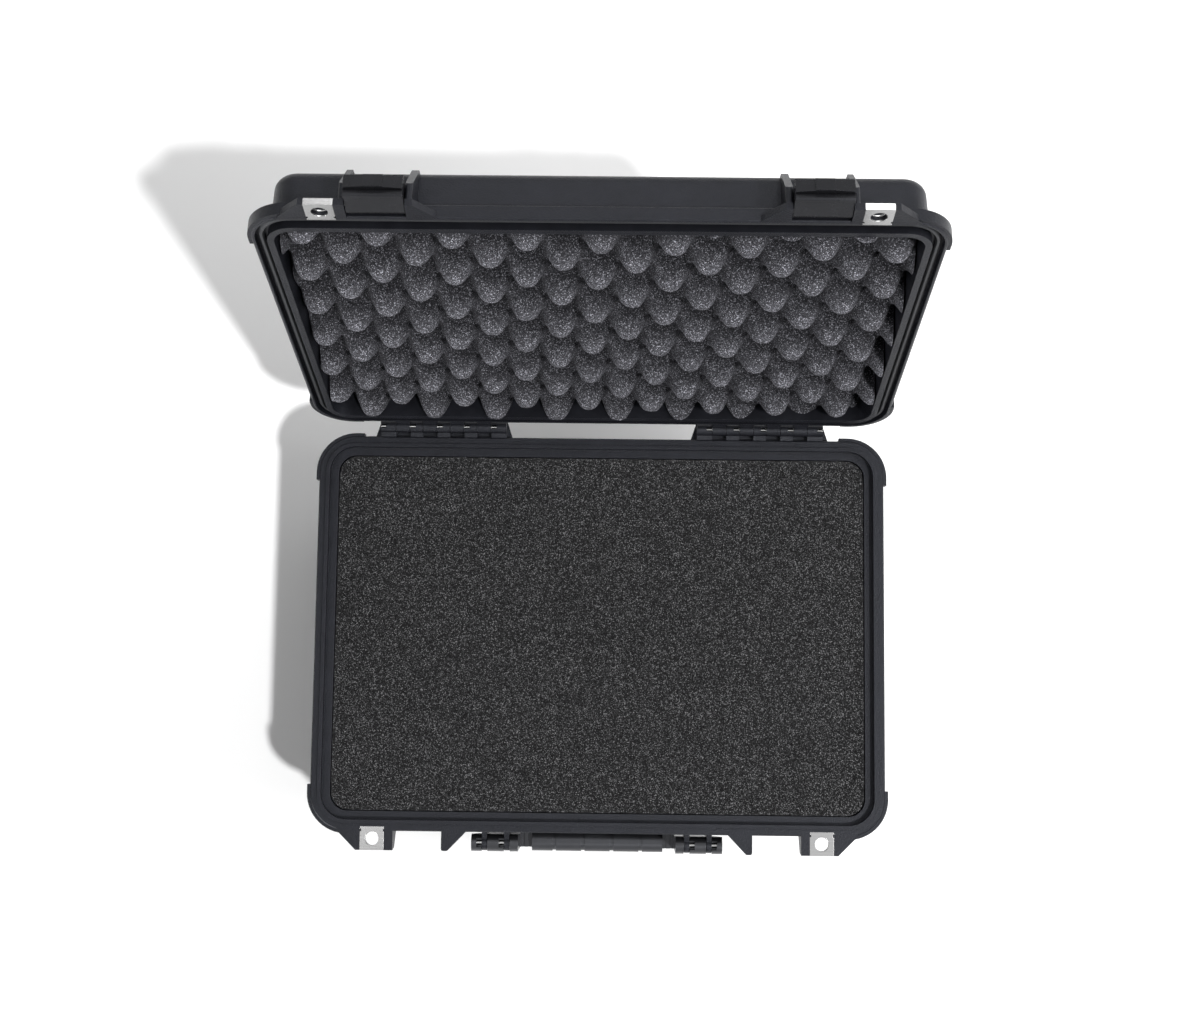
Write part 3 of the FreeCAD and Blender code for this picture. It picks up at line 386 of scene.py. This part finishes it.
def peak_profile(x, y):
    # 0 in the valleys and 1 on the blunt tips, which stand in staggered rows.
    turned = Matrix.Rotation(-PEAK_TURN, 2) @ (Vector((x, y)) - PEAK_SHIFT) * math.tau / PEAK_PITCH
    level = (math.cos(turned.x) * math.cos(turned.y) + 1.0) / 2.0
    return level * level * (3.0 - 2.0 * level)


def lid_foam_point(x, y):
    # Top of the lid foam with the lid shut, where the peaks point down.
    spot = Vector((x, y, 0.0))
    sway = noise.noise_vector(spot * SWAY_RATE) * FOAM_SWAY
    inside = peak_profile(x + sway.x, y + sway.y)
    pit = noise.noise(spot * PIT_RATE) * FOAM_PIT
    return Vector((x, y, TIP_Z + PEAK_HEIGHT - PEAK_HEIGHT * inside + pit))


def lid_foam(look):
    # Shaped with the lid shut, then turned about the hinge with the open lid.
    xs = spaced(LID_FOAM_HALF.x, LID_FOAM_STEP)
    ys = spaced(LID_FOAM_HALF.y, LID_FOAM_STEP)
    piece = pad("lid_foam_peaks", xs, ys, LID_FOAM_HALF, lid_foam_point, PARTING_Z + LID_FOAM_BACK)
    # The depth, from the tips down to the valleys, drives the painted shade in the foam's material.
    depth = piece.data.attributes.new("depth", "FLOAT", "POINT")
    for vertex, item in zip(piece.data.vertices, depth.data):
        item.value = (vertex.co.z - TIP_Z) / PEAK_HEIGHT
    turn = Matrix.Translation(HINGE) @ Matrix.Rotation(-LID_OPEN, 4, "X") @ Matrix.Translation(-HINGE)
    piece.data.transform(turn)
    smooth(piece.data, FOAM_SMOOTH_DEG)
    seat(piece, "lid", "lid_foam", look)


def cube_foam(name, node, look):
    # Square cubes, each at its own height by a hair, with shallow scores between them.
    low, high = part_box(node)
    half = Vector((high.x, high.y))
    uneven = {}

    def top_point(x, y):
        offsets = [abs(value - round(value / CUBE) * CUBE) for value in (x, y)]
        if min(offsets) < SCORE_HALF / 2:
            return Vector((x, y, high.z - SCORE_DEPTH))
        cube = (math.floor(x / CUBE), math.floor(y / CUBE))
        if cube not in uneven:
            uneven[cube] = random.uniform(-CUBE_UNEVEN, 0.0)
        return Vector((x, y, high.z + uneven[cube]))

    piece = pad(name, scored(half.x), scored(half.y), half, top_point, low.z)
    seat(piece, "base", node, look)


def foam_sheet(name, node, look):
    # The plain sheet on the case floor.
    low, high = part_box(node)
    half = Vector((high.x, high.y))

    def top_point(x, y):
        return Vector((x, y, high.z))

    piece = pad(name, spaced(half.x, SHEET_STEP), spaced(half.y, SHEET_STEP), half, top_point, low.z)
    seat(piece, "base", node, look)


def camera():
    data = bpy.data.cameras.new("photo_camera")
    data.sensor_width = SENSOR_MM
    data.lens = SENSOR_MM * FOCAL_PX / IMAGE_WIDTH_PX
    turn = Matrix.Rotation(math.radians(CAMERA_ROLL_DEG), 3, "Z")
    turn = turn @ Matrix.Rotation(math.radians(CAMERA_YAW_DEG), 3, "Y")
    turn = turn @ Matrix.Rotation(math.radians(CAMERA_PITCH_DEG), 3, "X")
    made = linked("photo_camera", data)
    made.matrix_world = Matrix.Translation(CAMERA_PLACE) @ turn.transposed().to_4x4()
    bpy.context.scene.camera = made


def floor():
    # White ground, plain and matt.
    made, *_, shader = material("pale_floor")
    shader.inputs["Base Color"].default_value = FLOOR_COLOUR
    shader.inputs["Roughness"].default_value = FLOOR_ROUGHNESS
    shader.inputs["Specular IOR Level"].default_value = 0.0
    signs = ((-1, -1), (1, -1), (1, 1), (-1, 1))
    corners = [(across * FLOOR_HALF, along * FLOOR_HALF, 0.0) for across, along in signs]
    mesh = bpy.data.meshes.new("floor")
    mesh.from_pydata(corners, [], [(0, 1, 2, 3)])
    mesh.materials.append(made)
    linked("floor", mesh)


def lamp(data, place, aim):
    # A light at its place, turned towards a point.
    made = linked(data.name, data)
    made.location = place
    made.rotation_mode = "QUATERNION"
    made.rotation_quaternion = (place - aim).to_track_quat("Z", "Y")


def panel(name, place, size, power):
    data = bpy.data.lights.new(name, "AREA")
    data.shape = "RECTANGLE"
    data.size = size.x
    data.size_y = size.y
    data.energy = power
    lamp(data, place, PANEL_AIM)


def lights():
    key = bpy.data.lights.new("key", "SUN")
    key.energy = KEY_STRENGTH
    key.angle = KEY_ANGLE
    lamp(key, KEY_PLACE, KEY_AIM)
    for name, (place, size, power) in PANELS.items():
        panel(name, place, size, power)


def studio():
    # White surroundings: seen and mirrored as white, though they light little.
    world = bpy.data.worlds.new("studio")
    world.use_nodes = True
    nodes = world.node_tree.nodes
    links = world.node_tree.links
    sky = nodes["Background"]
    sky.inputs["Color"].default_value = (*WHITE, 1.0)
    path = add(nodes, "ShaderNodeLightPath")
    seen = path.outputs["Is Camera Ray"]
    for kind in ("Is Glossy Ray", "Is Transmission Ray"):
        either = add(nodes, "ShaderNodeMath", operation="MAXIMUM")
        links.new(seen, either.inputs[0])
        links.new(path.outputs[kind], either.inputs[1])
        seen = either.outputs["Value"]
    level = add(nodes, "ShaderNodeMapRange")
    level.inputs["To Min"].default_value = WORLD_STRENGTH
    level.inputs["To Max"].default_value = 1.0
    links.new(seen, level.inputs["Value"])
    links.new(level.outputs["Result"], sky.inputs["Strength"])
    bpy.context.scene.world = world


def main():
    random.seed(SEED)
    noise.seed_set(SEED)
    looks = {slot: moulded(**values) for slot, values in PLASTICS.items()}
    looks |= {slot: steel(**values) for slot, values in STEELS.items()}
    looks |= {slot: foam(**values) for slot, values in FOAMS.items()}
    dress(looks)
    lid_foam(looks["lid_foam"])
    cube_foam("cube_foam_top", "pluck_foam_upper", looks["base_foam"])
    cube_foam("cube_foam_bottom", "pluck_foam_lower", looks["base_foam"])
    foam_sheet("base_pad_sheet", "base_foam_pad", looks["base_foam"])
    camera()
    floor()
    lights()
    studio()
    bpy.context.scene.view_settings.view_transform = "Standard"


main()
